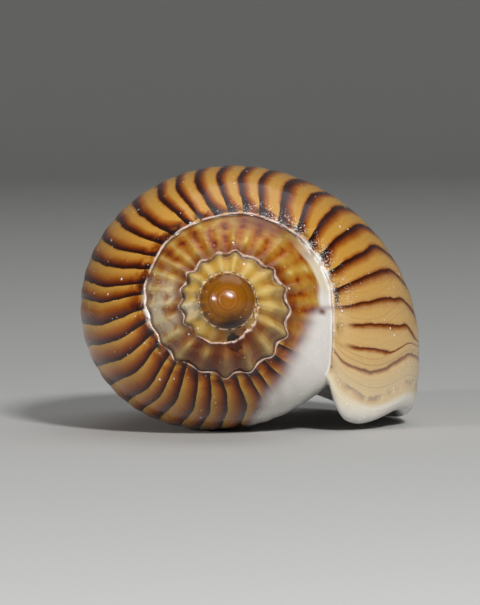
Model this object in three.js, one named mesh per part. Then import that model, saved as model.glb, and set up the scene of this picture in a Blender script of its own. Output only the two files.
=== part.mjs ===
// A volute shell: a small, glossy, right-handed sea shell, lying on its mouth.
// Lengths are in millimetres. The shell is worked out first in its own frame, with the spire's tip
// at the origin and the axis of coiling running down from it, and is then laid on the table.
// A place on the shell is given by two numbers. "turns" counts whorls back from the lip, so the lip
// is at 0 and the spire's tip at WHORLS. "depth" is the distance below the tip, along the axis.
import * as THREE from "three";

// Driving dimensions
const LENGTH = 46;
const WHORLS = 3.9;
const LIP_ANGLE = 32; // degrees clockwise from +X, seen from the spire's tip
const SPIRE_HEIGHT = 9.3; // from the tip to the last suture's end
const SPIRE_CURVE = 0.25; // 0 would be a straight-sided spire
const SUTURE_RADIUS = 8.4; // of the last suture, at its end
const SUTURE_GROWTH = 0.54; // each suture is exp of this times wider than the one before
const SEAM_DROP = 1.3; // how far the last suture dips down at the mouth
const SEAM_DROP_TURNS = 0.035;
const NUCLEUS_TURNS = WHORLS - 1; // the first whorl is a dome, with no suture above it
const NUCLEUS_ROUNDING = 6; // a higher power makes a blunter tip
const DOME_RADIUS = 2.15; // the first whorls together make a smooth dome
const DOME_DEPTH = 1.9;
const DOME_ENDS = [1.4, 2.6]; // the depths over which it passes into the spire

// A whorl's upper side is part of an ellipse, from its suture out to its widest place. The next
// whorl is fixed to it part of the way along.
const RAMP_START = 30; // degrees on the ellipse
const RAMP_ATTACH = 60;

// The body whorl
const BODY_GROWTH = 1.5; // millimetres of radius for each turn
const BODY_DIP = 2; // the flatter stretch beside the mouth
const BODY_DIP_TURNS = 0.86;
const BODY_DIP_WIDTH = 0.19;
const FLARE = 5.2; // how far the outer lip spreads
const FLARE_TURNS = 0.23;
const FLARE_POWER = 1.4;
const BASE_FULLNESS = 0.6; // the power of the taper below the widest place
const LIP_FULLNESS = 0.5;
const BASE_NARROWS = [0.35, 1]; // turns over which the base narrows to the columella
const COLUMELLA_SHARE = 0.33; // of the radius at the widest place
const COLUMELLA_REACH = 0.3; // how soon the base narrows to it, as a share of its length

// A pad of callus fills the upper corner of the mouth
const PAD_HEIGHT = 0.5;
const PAD_TURNS = 0.06;
const PAD_DEPTH = 11.5;
const PAD_REACH = 2.5;

// Ribs on the spire
const RIBS_PER_WHORL = 18;
const RIB_HEIGHT = 0.28;
const RIBS_BEGIN = [2.15, 2.45]; // the first whorls are smooth
const RIBS_END = [1, 1.7]; // and the ribs die out towards the body whorl

// Folds on the columella, and the ridge around its end
const FOLD_DEPTHS = [28.5, 31.5, 34.5, 37.5];
const FOLD_HEIGHT = 0.55;
const FOLD_WIDTH = 0.85;
const FOLD_SLOPE = 14; // millimetres of depth for each turn
const FOLDS_BEGIN = [0.93, 1.03];
const FOLDS_END = [1.6, 1.75];
const RIDGE_HEIGHT = 0.35;
const RIDGE_DEPTH = 42;
const RIDGE_SLOPE = 7;
const RIDGE_WIDTH = 1.3;

// The lip and the siphonal notch
const WALL = 0.9;
const CORNER_SHARE = 1.3; // the depth of a wall's top corner, as a share of its thickness
const LIP_BULGE = 0.3; // how round the lip's edge is at its corner, where 1 is half a circle
const LIP_BULGE_DEPTH = 2;
const LIP_WALL = 1.8;
const LIP_WALL_TURNS = 0.06;
const LIP_ROLL = 0.3;
const LIP_ROLL_TURNS = 0.022;
const LIP_LEAD = 3.6; // degrees by which the lip's shoulder runs ahead of its corner
const LIP_LEAD_DEPTH = 0.5;
const LIP_SHOULDER = 3.6; // and by which the shoulder's middle runs on
const LIP_SHOULDER_DEPTH = 3;
const LIP_SHOULDER_REACH = 2.4;
const LIP_LAG = 12; // degrees by which it then falls back
const LIP_LAG_DEPTHS = [0, 7];
const LIP_EASE_TURNS = 0.3;
const NOTCH_TURNS = 0.5;
const NOTCH_DEPTH = 42.6;
const NOTCH_RISE = 1.6;

// The hollow inside
const HOLLOW_TURNS = 0.75;
const CANAL_END = 44; // the depth where the hollow ends, near the mouth
const CANAL_RISE = 16; // how much higher it ends further in
const CANAL_RISE_TURNS = [0.5, 0.95];
const CORNER_ROUNDING = 1.5; // how far the wall stays thick beside each corner of the hollow
const LIP_CORNER_ROUNDING = 0.6; // and at the lip
const LIP_CORNER_TURNS = 0.12;

// The shell lies on its mouth, with the axis along Y and the spire's tip towards -Y. It touches
// the table with the lip's two ends and the body whorl, which lifts the tip a little.
const LIE_PITCH = -7.2;
const LIE_ROLL = 0.8;

// The mesh. A row is a line of points at one number of turns, in four stretches.
const ROWS_PER_TURN = 72;
const BAND_STEPS = 5; // from a suture to the next
const EDGE_STEPS = 3; // across a wall's edge
const MAIN_STEPS = 6; // from there down to the end of the hollow
const FOLDED_STEPS = 18; // and the same where the folds are
const LOW_STEPS = 3; // and on to the shell's end
const BAND_CROWDING = 1.6; // points stand closer together near a suture

const radians = THREE.MathUtils.degToRad;
const { smoothstep, lerp } = THREE.MathUtils;
const bell = (x, middle, width) => Math.exp(-(((x - middle) / width) ** 2));

// The suture. Below 0 turns it is where it would run if the shell grew on.
function closing(turns) {
  if (turns >= NUCLEUS_TURNS) return 0;
  if (turns <= 0) return 1;
  return Math.sqrt(1 - (turns / NUCLEUS_TURNS) ** NUCLEUS_ROUNDING);
}

function sutureDepth(turns) {
  const first = Math.exp(-SPIRE_CURVE * NUCLEUS_TURNS);
  const descent = (Math.exp(-SPIRE_CURVE * turns) - first) / (1 - first);
  return SPIRE_HEIGHT * descent * closing(turns) ** 2;
}

// Where a whorl's edge lies on the whorl before
const seamDepth = (turns) =>
  sutureDepth(turns) + SEAM_DROP * bell(turns, 0, SEAM_DROP_TURNS);

const sutureRadius = (turns) => SUTURE_RADIUS * Math.exp(-SUTURE_GROWTH * turns) * closing(turns);

// The ellipse of a whorl's upper side
const rampStart = (turns) =>
  radians(RAMP_START) * (1 - smoothstep(turns, NUCLEUS_TURNS - 1, NUCLEUS_TURNS));

const attachShare = (turns) => 1 - Math.cos(radians(RAMP_ATTACH)) / Math.cos(rampStart(turns));

function ramp(turns, share) {
  const start = rampStart(turns);
  const across = Math.sqrt(Math.max(0, 1 - ((1 - share) * Math.cos(start)) ** 2));
  return (across - Math.sin(start)) / (1 - Math.sin(start));
}

function widestDepth(turns) {
  const band = sutureDepth(turns - 1) - sutureDepth(turns);
  return sutureDepth(turns) + band / attachShare(turns);
}

function widestRadius(turns) {
  const coiled = (at) =>
    sutureRadius(at) +
    (sutureRadius(at - 1) - sutureRadius(at)) / ramp(at, attachShare(at));
  if (turns >= 1) return coiled(turns);
  const dip = bell(turns, BODY_DIP_TURNS, BODY_DIP_WIDTH);
  const dipAtStart = bell(1, BODY_DIP_TURNS, BODY_DIP_WIDTH);
  const flare = FLARE * Math.exp(-((turns / FLARE_TURNS) ** FLARE_POWER));
  return coiled(1) + BODY_GROWTH * (1 - turns) - BODY_DIP * (dip - dipAtStart * turns) + flare;
}

// The surface without ribs or folds
function smoothRadius(turns, depth) {
  const coiled = coiledRadius(turns, depth);
  if (depth >= DOME_ENDS[1]) return coiled;
  const dome = DOME_RADIUS * Math.sqrt(1 - (1 - Math.min(1, depth / DOME_DEPTH)) ** 2);
  return lerp(dome, coiled, smoothstep(depth, ...DOME_ENDS));
}

function coiledRadius(turns, depth) {
  const from = seamDepth(turns);
  const widest = widestDepth(turns);
  const radius = widestRadius(turns);
  const pad = PAD_HEIGHT * bell(turns, 1, PAD_TURNS) * bell(depth, PAD_DEPTH, PAD_REACH);
  if (depth <= widest) {
    const start = turns < 1 ? smoothRadius(turns + 1, from) : sutureRadius(turns);
    return start + (radius - start) * ramp(turns, (depth - from) / (widest - from)) + pad;
  }
  const down = Math.min(1, (depth - widest) / (LENGTH - widest));
  const fullness = lerp(LIP_FULLNESS, BASE_FULLNESS, smoothstep(turns, 0, NOTCH_TURNS));
  const full = (1 - down ** 2) ** fullness;
  const columella = COLUMELLA_SHARE * (1 - 0.3 * down ** 2) * Math.sqrt(1 - down ** 8);
  const narrow = columella + (1 - COLUMELLA_SHARE) * bell(down, 0, COLUMELLA_REACH);
  return radius * lerp(full, narrow, smoothstep(turns, ...BASE_NARROWS)) + pad;
}

function ribs(turns, share) {
  const strength = smoothstep(turns, ...RIBS_END) * (1 - smoothstep(turns, ...RIBS_BEGIN));
  const reach = smoothstep(share, 0.04, 0.3) * (1 - smoothstep(share, 0.5, 0.9));
  return RIB_HEIGHT * strength * reach * Math.cos(2 * Math.PI * RIBS_PER_WHORL * turns);
}

function folds(turns, depth) {
  const along = FOLD_SLOPE * (turns - 1);
  const heights = FOLD_DEPTHS.map((middle) => bell(depth, middle - along, FOLD_WIDTH));
  const sum = heights.reduce((total, height) => total + height, 0);
  const reach = smoothstep(turns, ...FOLDS_BEGIN) * (1 - smoothstep(turns, ...FOLDS_END));
  return FOLD_HEIGHT * reach * sum;
}

function endRidge(turns, depth) {
  const reach = smoothstep(turns, 0.3, 0.5) * (1 - smoothstep(turns, 0.95, 1.05));
  return RIDGE_HEIGHT * reach * bell(depth, RIDGE_DEPTH - RIDGE_SLOPE * (turns - 0.3), RIDGE_WIDTH);
}

function surfaceRadius(turns, depth) {
  const from = seamDepth(turns);
  const below = Math.max(0, depth - from);
  const share = below / (widestDepth(turns) - from);
  let radius = smoothRadius(turns, depth) + ribs(turns, share);
  // The whorl's own edge follows the ribs that it is fixed to.
  if (turns < NUCLEUS_TURNS)
    radius += ribs(turns + 1, attachShare(turns + 1)) * Math.exp(-share / 0.06);
  if (turns < 1) radius += LIP_ROLL * bell(turns, 0, LIP_ROLL_TURNS) * smoothstep(below, 0, 3);
  return radius + folds(turns, depth) + endRidge(turns, depth);
}

// The lip isn't straight: its shoulder runs ahead of the corner at the suture.
function lipLead(turns, depth) {
  if (turns >= LIP_EASE_TURNS) return 0;
  const below = Math.max(0, depth - seamDepth(turns));
  const shoulder = LIP_SHOULDER * bell(below, LIP_SHOULDER_DEPTH, LIP_SHOULDER_REACH);
  const lead = LIP_LEAD * (1 - bell(below, 0, LIP_LEAD_DEPTH)) + shoulder;
  const lag = LIP_LAG * smoothstep(below, ...LIP_LAG_DEPTHS);
  return (lead - lag) * (1 - smoothstep(turns, 0, LIP_EASE_TURNS));
}

function place(turns, depth, radius, leadDepth = depth) {
  const angle = radians(LIP_ANGLE - 360 * turns + lipLead(turns, leadDepth));
  return new THREE.Vector3(radius * Math.cos(angle), -radius * Math.sin(angle), -depth);
}

const outerPlace = (turns, depth) => place(turns, depth, surfaceRadius(turns, depth));

// The siphonal notch cuts the shell's end off next to the lip.
function endDepth(turns) {
  const share = turns / NOTCH_TURNS;
  if (share >= 1) return LENGTH;
  const past = (LENGTH - NOTCH_DEPTH) * smoothstep(share, 0.55, 1);
  return NOTCH_DEPTH + past - NOTCH_RISE * Math.sin(Math.PI * share);
}

const wallAt = (turns) => WALL + (LIP_WALL - WALL) * bell(turns, 0, LIP_WALL_TURNS);

// The depths at the ends of a row's stretches: its own suture, the next whorl's outer and inner
// edge, the end of the hollow, and the shell's end.
function stretchEnds(turns) {
  const next = seamDepth(turns - 1);
  const inner = next + CORNER_SHARE * wallAt(Math.max(0, turns - 1));
  const rise = CANAL_RISE * smoothstep(turns - 1, ...CANAL_RISE_TURNS);
  const end = endDepth(turns);
  const canal = turns < 1 ? end - 2 : CANAL_END - rise;
  return [seamDepth(turns), next, inner, canal, end];
}

function stretchDepths(turns, mainSteps) {
  const [from, next, inner, canal, end] = stretchEnds(turns);
  const shares = (steps) => Array.from({ length: steps + 1 }, (_, k) => k / steps);
  return {
    band: shares(BAND_STEPS).map((s) => lerp(from, next, s ** BAND_CROWDING)),
    edge: shares(EDGE_STEPS).map((s) => lerp(next, inner, s)),
    main: shares(mainSteps).map((s) => lerp(inner, canal, s)),
    low: shares(LOW_STEPS).map((s) => lerp(canal, end, Math.sin((Math.PI / 2) * s))),
  };
}
const STRETCHES = ["band", "edge", "main", "low"];

// The inside of the outer wall. It meets the whorl before at both ends of the hollow.
function innerPlace(turns, depth) {
  const [from, , , , end] = stretchEnds(turns);
  const [, , top, canal] = stretchEnds(turns + 1);
  const notch = 1 - smoothstep(turns, 0.5 * NOTCH_TURNS, NOTCH_TURNS);
  const bottom = lerp(canal, end - 0.4, notch);
  const at = lerp(top, bottom, (depth - from) / (end - from));
  const rounding = lerp(LIP_CORNER_ROUNDING, CORNER_ROUNDING, smoothstep(turns, 0, LIP_CORNER_TURNS));
  const thickAt = (corner) =>
    surfaceRadius(turns, corner) - surfaceRadius(turns + 1, corner) - wallAt(turns);
  const atTop = thickAt(top) * Math.exp((top - at) / rounding);
  const atBottom = thickAt(bottom) * Math.exp((at - bottom) / CORNER_ROUNDING) * (1 - notch);
  const radius = surfaceRadius(turns, at) - wallAt(turns) - atTop - atBottom;
  return place(turns, at, radius, depth);
}

// The mesh, as points that each have a number, and triangles of three numbers
const positions = [];
const triangles = [];

function addPoint(point) {
  positions.push(point.x, point.y, point.z);
  return positions.length / 3 - 1;
}

const pointAt = (index) => new THREE.Vector3().fromArray(positions, 3 * index);

function addTriangle(a, b, c) {
  if (a !== b && b !== c && c !== a) triangles.push(a, b, c);
}

// Fills between two lines of points, the later growth first, which may differ in number.
function addStrip(later, earlier) {
  const laterSteps = later.length - 1;
  const earlierSteps = earlier.length - 1;
  let i = 0;
  let j = 0;
  while (i < laterSteps || j < earlierSteps) {
    if (j < earlierSteps && (j + 1) * laterSteps <= (i + 1) * earlierSteps) {
      addTriangle(later[i], earlier[j + 1], earlier[j]);
      j += 1;
    } else {
      addTriangle(later[i], later[i + 1], earlier[j]);
      i += 1;
    }
  }
}

const TOP_ROW = Math.round(WHORLS * ROWS_PER_TURN);
const NUCLEUS_ROW = Math.round(NUCLEUS_TURNS * ROWS_PER_TURN);
const NOTCH_ROW = Math.round(NOTCH_TURNS * ROWS_PER_TURN);
const HOLLOW_ROW = Math.round(HOLLOW_TURNS * ROWS_PER_TURN);
const FOLDS_ROW = Math.round(FOLDS_BEGIN[0] * ROWS_PER_TURN);

// A row's points, stretch by stretch. Neighbouring stretches share a point, and each suture's
// points are those of the whorl before.
function outerRow(row, rows, tip, end) {
  const turns = row / ROWS_PER_TURN;
  const depths = stretchDepths(turns, row < FOLDS_ROW ? MAIN_STEPS : FOLDED_STEPS);
  const points = {};
  let shared;
  if (row >= NUCLEUS_ROW) shared = tip;
  else shared = rows[row + ROWS_PER_TURN].band.at(-1);
  for (const name of STRETCHES) {
    if (name !== "band" && row > ROWS_PER_TURN + HOLLOW_ROW) break;
    const fresh = depths[name].slice(1).map((depth) => {
      if (row === TOP_ROW) return tip;
      if (depth === LENGTH) return end;
      return addPoint(outerPlace(turns, depth));
    });
    points[name] = [shared, ...fresh];
    shared = fresh.at(-1);
  }
  return points;
}

function innerRow(row, before) {
  const turns = row / ROWS_PER_TURN;
  const depths = stretchDepths(turns, MAIN_STEPS);
  const all = [...depths.band, ...depths.edge.slice(1), ...depths.main.slice(1),
    ...depths.low.slice(1)];
  const points = all.slice(1, -1).map((depth) => addPoint(innerPlace(turns, depth)));
  const last = row < NOTCH_ROW ? addPoint(innerPlace(turns, all.at(-1))) : before.main.at(-1);
  return [before.main[0], ...points, last];
}

const wholeRow = (row) =>
  STRETCHES.flatMap((name, k) => (k === 0 ? row[name] : row[name].slice(1)));

// The rounded edge of the lip and of the notch, as arcs from the outer to the inner surface
function edgeArcs(outer, inner) {
  const lip = wholeRow(outer[0]);
  const behind = wholeRow(outer[1]);
  const direction = (from, to) => pointAt(to).sub(pointAt(from)).normalize();
  const ends = lip.map((index, k) => [index, inner[0][k], direction(behind[k], index)]);
  for (let row = 1; row <= NOTCH_ROW; row++) {
    const [above, last] = outer[row].low.slice(-2);
    ends.push([last, inner[row].at(-1), direction(above, last)]);
  }
  const corner = ends[lip.length - 1];
  corner[2].add(direction(...outer[0].low.slice(-2))).normalize();
  return ends.map(([from, to, ahead], k) => {
    if (k === 0) return outer[ROWS_PER_TURN].edge;
    if (k === ends.length - 1) return outer[ROWS_PER_TURN + NOTCH_ROW].low.toReversed();
    const middle = pointAt(from).add(pointAt(to)).multiplyScalar(0.5);
    const half = pointAt(from).sub(middle);
    const below = -pointAt(from).z - seamDepth(0);
    const bulge = half.length() * lerp(LIP_BULGE, 1, smoothstep(below, 0, LIP_BULGE_DEPTH));
    const arc = [from];
    for (let step = 1; step < EDGE_STEPS; step++) {
      const turn = (Math.PI * step) / EDGE_STEPS;
      const point = middle.clone().addScaledVector(half, Math.cos(turn));
      arc.push(addPoint(point.addScaledVector(ahead, bulge * Math.sin(turn))));
    }
    return [...arc, to];
  });
}

function buildShell() {
  const tip = addPoint(new THREE.Vector3(0, 0, 0));
  const end = addPoint(new THREE.Vector3(0, 0, -LENGTH));
  const outer = [];
  for (let row = TOP_ROW; row >= 0; row--) outer[row] = outerRow(row, outer, tip, end);
  const inner = [];
  for (let row = 0; row <= HOLLOW_ROW; row++)
    inner[row] = innerRow(row, outer[row + ROWS_PER_TURN]);

  // The outside, which is only the band below the suture on the spire
  for (let row = 0; row < TOP_ROW; row++)
    for (const name of row < ROWS_PER_TURN ? STRETCHES : ["band"])
      addStrip(outer[row][name], outer[row + 1][name]);

  // The columella and the two sides of the hollow
  for (let row = 0; row < HOLLOW_ROW; row++) {
    const [later, earlier] = [outer[row + ROWS_PER_TURN], outer[row + ROWS_PER_TURN + 1]];
    addStrip(later.main, earlier.main);
    if (row < NOTCH_ROW) addStrip(later.low, earlier.low);
    addStrip(inner[row + 1], inner[row]);
  }

  const arcs = edgeArcs(outer, inner);
  for (let k = 0; k + 1 < arcs.length; k++) addStrip(arcs[k], arcs[k + 1]);

  // The hollow's far end
  const far = outer[ROWS_PER_TURN + HOLLOW_ROW].main.slice(1, -1).toReversed();
  const loop = [...inner[HOLLOW_ROW], ...far];
  const middle = new THREE.Vector3();
  for (const index of loop) middle.add(pointAt(index));
  const centre = addPoint(middle.divideScalar(loop.length));
  loop.forEach((index, k) => addTriangle(centre, loop[(k + 1) % loop.length], index));

  const geometry = new THREE.BufferGeometry();
  geometry.setAttribute("position", new THREE.Float32BufferAttribute(positions, 3));
  geometry.setIndex(triangles);
  geometry.computeVertexNormals();
  return geometry;
}

const glossyShell = new THREE.MeshStandardMaterial({
  color: 0xb08848,
  roughness: 0.2,
  metalness: 0,
});
const shell = new THREE.Mesh(buildShell(), glossyShell);
shell.name = "shell";
shell.rotation.x = radians(90);

const rolled = new THREE.Group();
rolled.add(shell);
rolled.rotation.y = radians(LIE_ROLL);

const pitched = new THREE.Group();
pitched.add(rolled);
pitched.rotation.x = radians(LIE_PITCH);

const part = new THREE.Group();
part.add(pitched);

// The origin is on the table, under the middle of the shell.
const box = new THREE.Box3().setFromObject(part, true);
const middle = box.getCenter(new THREE.Vector3());
part.position.set(-middle.x, -middle.y, -box.min.z);

export default part;
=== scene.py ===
"""The looks of a volute shell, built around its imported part.

The shell is worked out in its own frame in millimetres, with the spire's tip at the origin and the
axis of coiling running down from it. It is then laid on the table in the frame's place, in metres.
A place on it is given by "turns", which counts whorls back from the lip, and by "depth", the
distance below the tip along the axis. A pair of turns or depths is a range over which something
comes in or fades out. A wave is its height, how many there are per unit, and its start.
"""

import math

import bpy
import numpy as np
from mathutils import Euler, Matrix, Vector


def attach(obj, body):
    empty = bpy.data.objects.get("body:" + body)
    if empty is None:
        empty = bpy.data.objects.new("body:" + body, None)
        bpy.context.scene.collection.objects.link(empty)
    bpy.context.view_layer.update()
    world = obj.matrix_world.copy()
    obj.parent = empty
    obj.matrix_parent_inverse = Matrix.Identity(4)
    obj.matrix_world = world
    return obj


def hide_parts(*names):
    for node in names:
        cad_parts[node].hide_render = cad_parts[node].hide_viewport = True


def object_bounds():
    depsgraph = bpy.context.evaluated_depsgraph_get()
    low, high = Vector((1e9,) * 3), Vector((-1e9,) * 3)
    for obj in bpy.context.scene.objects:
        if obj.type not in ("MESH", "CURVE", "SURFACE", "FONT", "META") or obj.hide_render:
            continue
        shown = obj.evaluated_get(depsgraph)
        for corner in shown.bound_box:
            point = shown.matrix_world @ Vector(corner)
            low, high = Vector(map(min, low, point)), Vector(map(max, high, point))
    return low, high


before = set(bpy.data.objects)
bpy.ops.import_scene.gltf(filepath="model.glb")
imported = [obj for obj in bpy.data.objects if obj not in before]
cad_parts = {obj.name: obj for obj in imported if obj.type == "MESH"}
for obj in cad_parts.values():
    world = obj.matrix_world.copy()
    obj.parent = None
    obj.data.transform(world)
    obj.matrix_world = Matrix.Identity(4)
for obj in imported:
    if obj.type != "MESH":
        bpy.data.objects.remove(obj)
cad_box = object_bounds()

MM = 0.001
CENTIMETRE = 10
TINY = 1e-9

# The shell's form, as the part has it
LENGTH = 46
WHORLS = 3.9
LIP_ANGLE = 32
SPIRE_HEIGHT = 9.3
SPIRE_CURVE = 0.25
SUTURE_RADIUS = 8.4
SUTURE_GROWTH = 0.54
SEAM_DROP = 1.3
SEAM_DROP_TURNS = 0.035
THINNEST_BAND = 1e-6
NUCLEUS_TURNS = WHORLS - 1
NUCLEUS_ROUNDING = 6
DOME_RADIUS = 2.15
DOME_DEPTH = 1.9
DOME_ENDS = (1.4, 2.6)
RAMP_START = math.radians(30)
RAMP_ATTACH = math.radians(60)
RAMP_REACH = (-0.2, 1)
BODY_GROWTH = 1.5
BODY_DIP = 2
BODY_DIP_TURNS = 0.86
BODY_DIP_WIDTH = 0.19
FLARE = 5.2
FLARE_TURNS = 0.23
FLARE_POWER = 1.4
BASE_FULLNESS = 0.6
LIP_FULLNESS = 0.5
BASE_NARROWS = (0.35, 1)
COLUMELLA_SHARE = 0.33
COLUMELLA_REACH = 0.3
COLUMELLA_TAPER = 0.3
COLUMELLA_ROUNDING = 8
PAD_HEIGHT = 0.5
PAD_TURNS = 0.06
PAD_DEPTH = 11.5
PAD_REACH = 2.5
FOLD_DEPTHS = (28.5, 31.5, 34.5, 37.5)
FOLD_HEIGHT = 0.55
FOLD_WIDTH = 0.85
FOLD_SLOPE = 14
FOLD_TURNS = ((0.93, 1.03), (1.6, 1.75))
RIDGE_HEIGHT = 0.35
RIDGE_DEPTH = 42
RIDGE_SLOPE = 7
RIDGE_WIDTH = 1.3
RIDGE_TURNS = ((0.3, 0.5), (0.95, 1.05))
WALL = 0.9
CORNER_SHARE = 1.3
LIP_BULGE = 0.3
LIP_BULGE_DEPTH = 2
LIP_WALL = 1.8
LIP_WALL_TURNS = 0.06
LIP_ROLL = 0.3
LIP_ROLL_TURNS = 0.022
LIP_ROLL_DEPTHS = (0, 3)
LIP_LEAD = 3.6
LIP_LEAD_DEPTH = 0.5
LIP_SHOULDER = 3.6
LIP_SHOULDER_DEPTH = 3
LIP_SHOULDER_REACH = 2.4
LIP_LAG = 12
LIP_LAG_DEPTHS = (0, 7)
LIP_EASE_TURNS = 0.3
NOTCH_TURNS = 0.5
NOTCH_DEPTH = 42.6
NOTCH_RISE = 1.6
NOTCH_ENDS = (0.55, 1)  # as a share of its turns
NOTCH_WALL = 0.4
HOLLOW_TURNS = 0.75
CANAL_END = 44
CANAL_RISE = 16
CANAL_RISE_TURNS = (0.5, 0.95)
CORNER_ROUNDING = 1.5
LIP_CORNER_ROUNDING = 0.6
LIP_CORNER_TURNS = 0.12
LOW_EDGE = 2  # how much of the body's depth its lowest stretch takes
LIE_PITCH = math.radians(-7.2)
LIE_ROLL = math.radians(0.8)

# The suture's real course. Each pair is turns and how far out it lies, as a share of the even
# spiral, from places read one by one.
SUTURE_FIT = (
    (0.0, 1.0), (0.1, 1.05), (0.24, 1.06), (0.36, 1.015), (0.5, 1.0), (0.6, 0.965),
    (0.7, 0.93), (0.8, 0.94), (0.87, 0.99), (1.0, 0.98), (1.1, 0.97), (1.2, 0.92),
    (1.36, 0.91), (1.486, 0.88), (1.611, 0.95), (1.706, 1.0), (1.77, 1.04), (1.825, 1.02),
    (1.9, 1.02), (2.0, 1.06), (2.1, 1.1), (2.36, 1.12),
)
FIT_BLUR = 0.03
BODY_WAVES = ((0.07, 7.3, 0.1), (0.05, 12.1, 0.6), (0.03, 23.7, 0.3))
SPIRE_WAVES = ((0.035, 11.2, 0.2), (0.03, 25.4, 0.8), (0.012, 47, 0.5))
SPIRE_WAVES_BEGIN = (0.6, 1.1)
WAVES_TURNS = ((-0.02, 0.05), (2.1, 2.7))
SUTURE_RIM = 0.2  # how far the edge of a whorl stands up
SUTURE_RIM_WIDTH = 0.11
SUTURE_RIM_TURNS = ((0.004, 0.03), (2.1, 2.35))
SUTURE_RIM_WAVES = ((0.4, 9.1, 0.3), (0.3, 27.3, 0.6), (0.2, 55.1, 0.1))
EDGE_EASE = 0.06  # how soon a whorl's own form takes over from its edge

# Relief too fine for the part. The beads beside the suture turn into ribs further up the spire.
RIBS_PER_WHORL = 17
BEADS_PER_WHORL = 31
RIB_HEIGHT = 0.34
BEAD_HEIGHT = 0.2
BEADS_BEGIN = (0.95, 1.1)
RIBS_BEGIN = (1.45, 1.8)
RIBS_END = (2.5, 2.9)
BEAD_REACH = ((0.0, 0.06), (0.1, 0.3))  # as a share of the way to the whorl's widest place
RIB_REACH = ((0.02, 0.12), (0.45, 0.8))
RIB_SHARPNESS = 1.4
RIB_WAVES = ((0.3, 0.37, 0.2), (0.25, 0.083, 0.6))
DOME_RINGS = ((2.2, 0.09, 0.12), (1.32, 0.1, 0.05), (0.7, 0.1, 0.05))  # radius, width, height
DOME_RING_TURNS = (1.8, 1.9)
DOME_RING_DEPTHS = (2.6, 3.2)

# A broken place beside the dome
DENT_PLACE = (0.6, -3.05)
DENT_WIDTH = 0.7
DENT_DEPTH = 0.7
DENT_TURNS = (1.7, 1.8)
# How far painted shade spreads round the broken place, darkening the lower side of the dome and
# spire
PAINTED_SHADE_WIDTH = 2.1

# The mesh
ROWS_PER_TURN = 360
BAND_STEPS = 24
EDGE_STEPS = 8
MAIN_STEPS = 42
LOW_STEPS = EDGE_STEPS
BAND_CROWDING = 2.2
STRETCHES = ("band", "edge", "main", "low")

# The stripes. Each of the last ones is given by its turns, and the others are evenly spaced.
LAST_STRIPES = (0.015, 0.036, 0.061, 0.087, 0.111, 0.136, 0.161)
BEFORE_LIP = (-0.1, -3.0)  # turns, and how many stripes there would be up to there
STRIPES_PER_WHORL = 38
STRIPED_WHORLS = 3
STRIPE_NECK = (0.82, 0.66)  # how far out they are furthest back, near the lip and further on
STRIPE_NECK_TURNS = (0.1, 0.3)
STRIPE_SWING_IN = 5.5  # degrees by which they run ahead at the suture
STRIPE_BEND_IN = (1.1, 1.6)
STRIPE_SWING_OUT = 4.5  # and at the widest place
STRIPE_BEND_OUT = (1.0, 1.15)
STRIPE_SWAY = ((1.5, 0.9, 0.1), (0.9, 1.7, 0.5))
STRIPE_SWAY_BEGINS = (1.2, 2)
STRIPE_PARALLEL = (0.04, 0.05)  # only the stripes before this run as the lip does
STRIPE_UNEVEN = ((0.0022, 5.3, 0.1), (0.0016, 11.7, 0.4), (0.001, 17.9, 0.8))
STRIPE_UNEVEN_BEGINS = (0.15, 0.3)
STRIPE_RELIEF = 0.03
STRIPE_RELIEF_SHIFT = 0.1
STRIPE_RELIEF_BEGINS = (0.3, 1.5)
STRIPE_RELIEF_ENDS = (0.9, 1)

# Where the white callus beside the mouth begins: turns, and millimetres from the axis
CALLUS_EDGE = (
    (0.8, 14), (0.86, 9.4), (0.905, 7.2), (0.976, 6.1), (1.026, 6.1), (1.07, 6.2),
    (1.09, 6.9), (1.105, 9),
)
CALLUS_BLUR = (-1.5, 2.2)
CALLUS_TURNS = ((0.8, 0.85), (1.07, 1.12))
CALLUS_BASE_BEGINS = (0.845, 0.9)
CALLUS_BASE_DEPTHS = (-3, 0)  # from the whorl's widest place
FAR = 9  # millimetres, where there is no later whorl to be near to


def smoothstep(x, low, high):
    share = np.clip((x - low) / (high - low), 0, 1)
    return share * share * (3 - 2 * share)


def between(x, rise, fall):
    """Rises smoothly from 0 to 1 over one range and falls back to 0 over another"""
    return smoothstep(x, *rise) * (1 - smoothstep(x, *fall))


def lerp(low, high, share):
    return low + (high - low) * share


def bell(x, middle, width):
    return np.exp(-(((x - middle) / width) ** 2))


def waver(x, *waves):
    """A sum of waves, each given by its height, how many there are per unit of x, and its start."""
    return sum(height * np.sin(2 * np.pi * (count * x + start)) for height, count, start in waves)


def closing(turns):
    share = np.clip(turns / NUCLEUS_TURNS, 0, 1)
    return np.sqrt(1 - share**NUCLEUS_ROUNDING)


def suture_depth(turns):
    first = math.exp(-SPIRE_CURVE * NUCLEUS_TURNS)
    descent = (np.exp(-SPIRE_CURVE * turns) - first) / (1 - first)
    return SPIRE_HEIGHT * descent * closing(turns) ** 2


def suture_radius(turns):
    fit_turns, fit_shares = zip(*SUTURE_FIT)
    near = (turns - FIT_BLUR, turns, turns + FIT_BLUR)
    fit = sum(np.interp(at, fit_turns, fit_shares) for at in near) / len(near)
    return SUTURE_RADIUS * np.exp(-SUTURE_GROWTH * turns) * closing(turns) * fit


def suture_wave(turns):
    """The depth by which the real suture wanders from its even course"""
    body = waver(turns, *BODY_WAVES)
    spire = waver(turns, *SPIRE_WAVES)
    return between(turns, *WAVES_TURNS) * lerp(body, spire, smoothstep(turns, *SPIRE_WAVES_BEGIN))


def seam_depth(turns):
    return suture_depth(turns) + SEAM_DROP * bell(turns, 0, SEAM_DROP_TURNS)


def suture(turns):
    return seam_depth(turns) + suture_wave(turns)


def ramp_start(turns):
    return RAMP_START * (1 - smoothstep(turns, NUCLEUS_TURNS - 1, NUCLEUS_TURNS))


def attach_share(turns):
    return 1 - math.cos(RAMP_ATTACH) / np.cos(ramp_start(turns))


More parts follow.
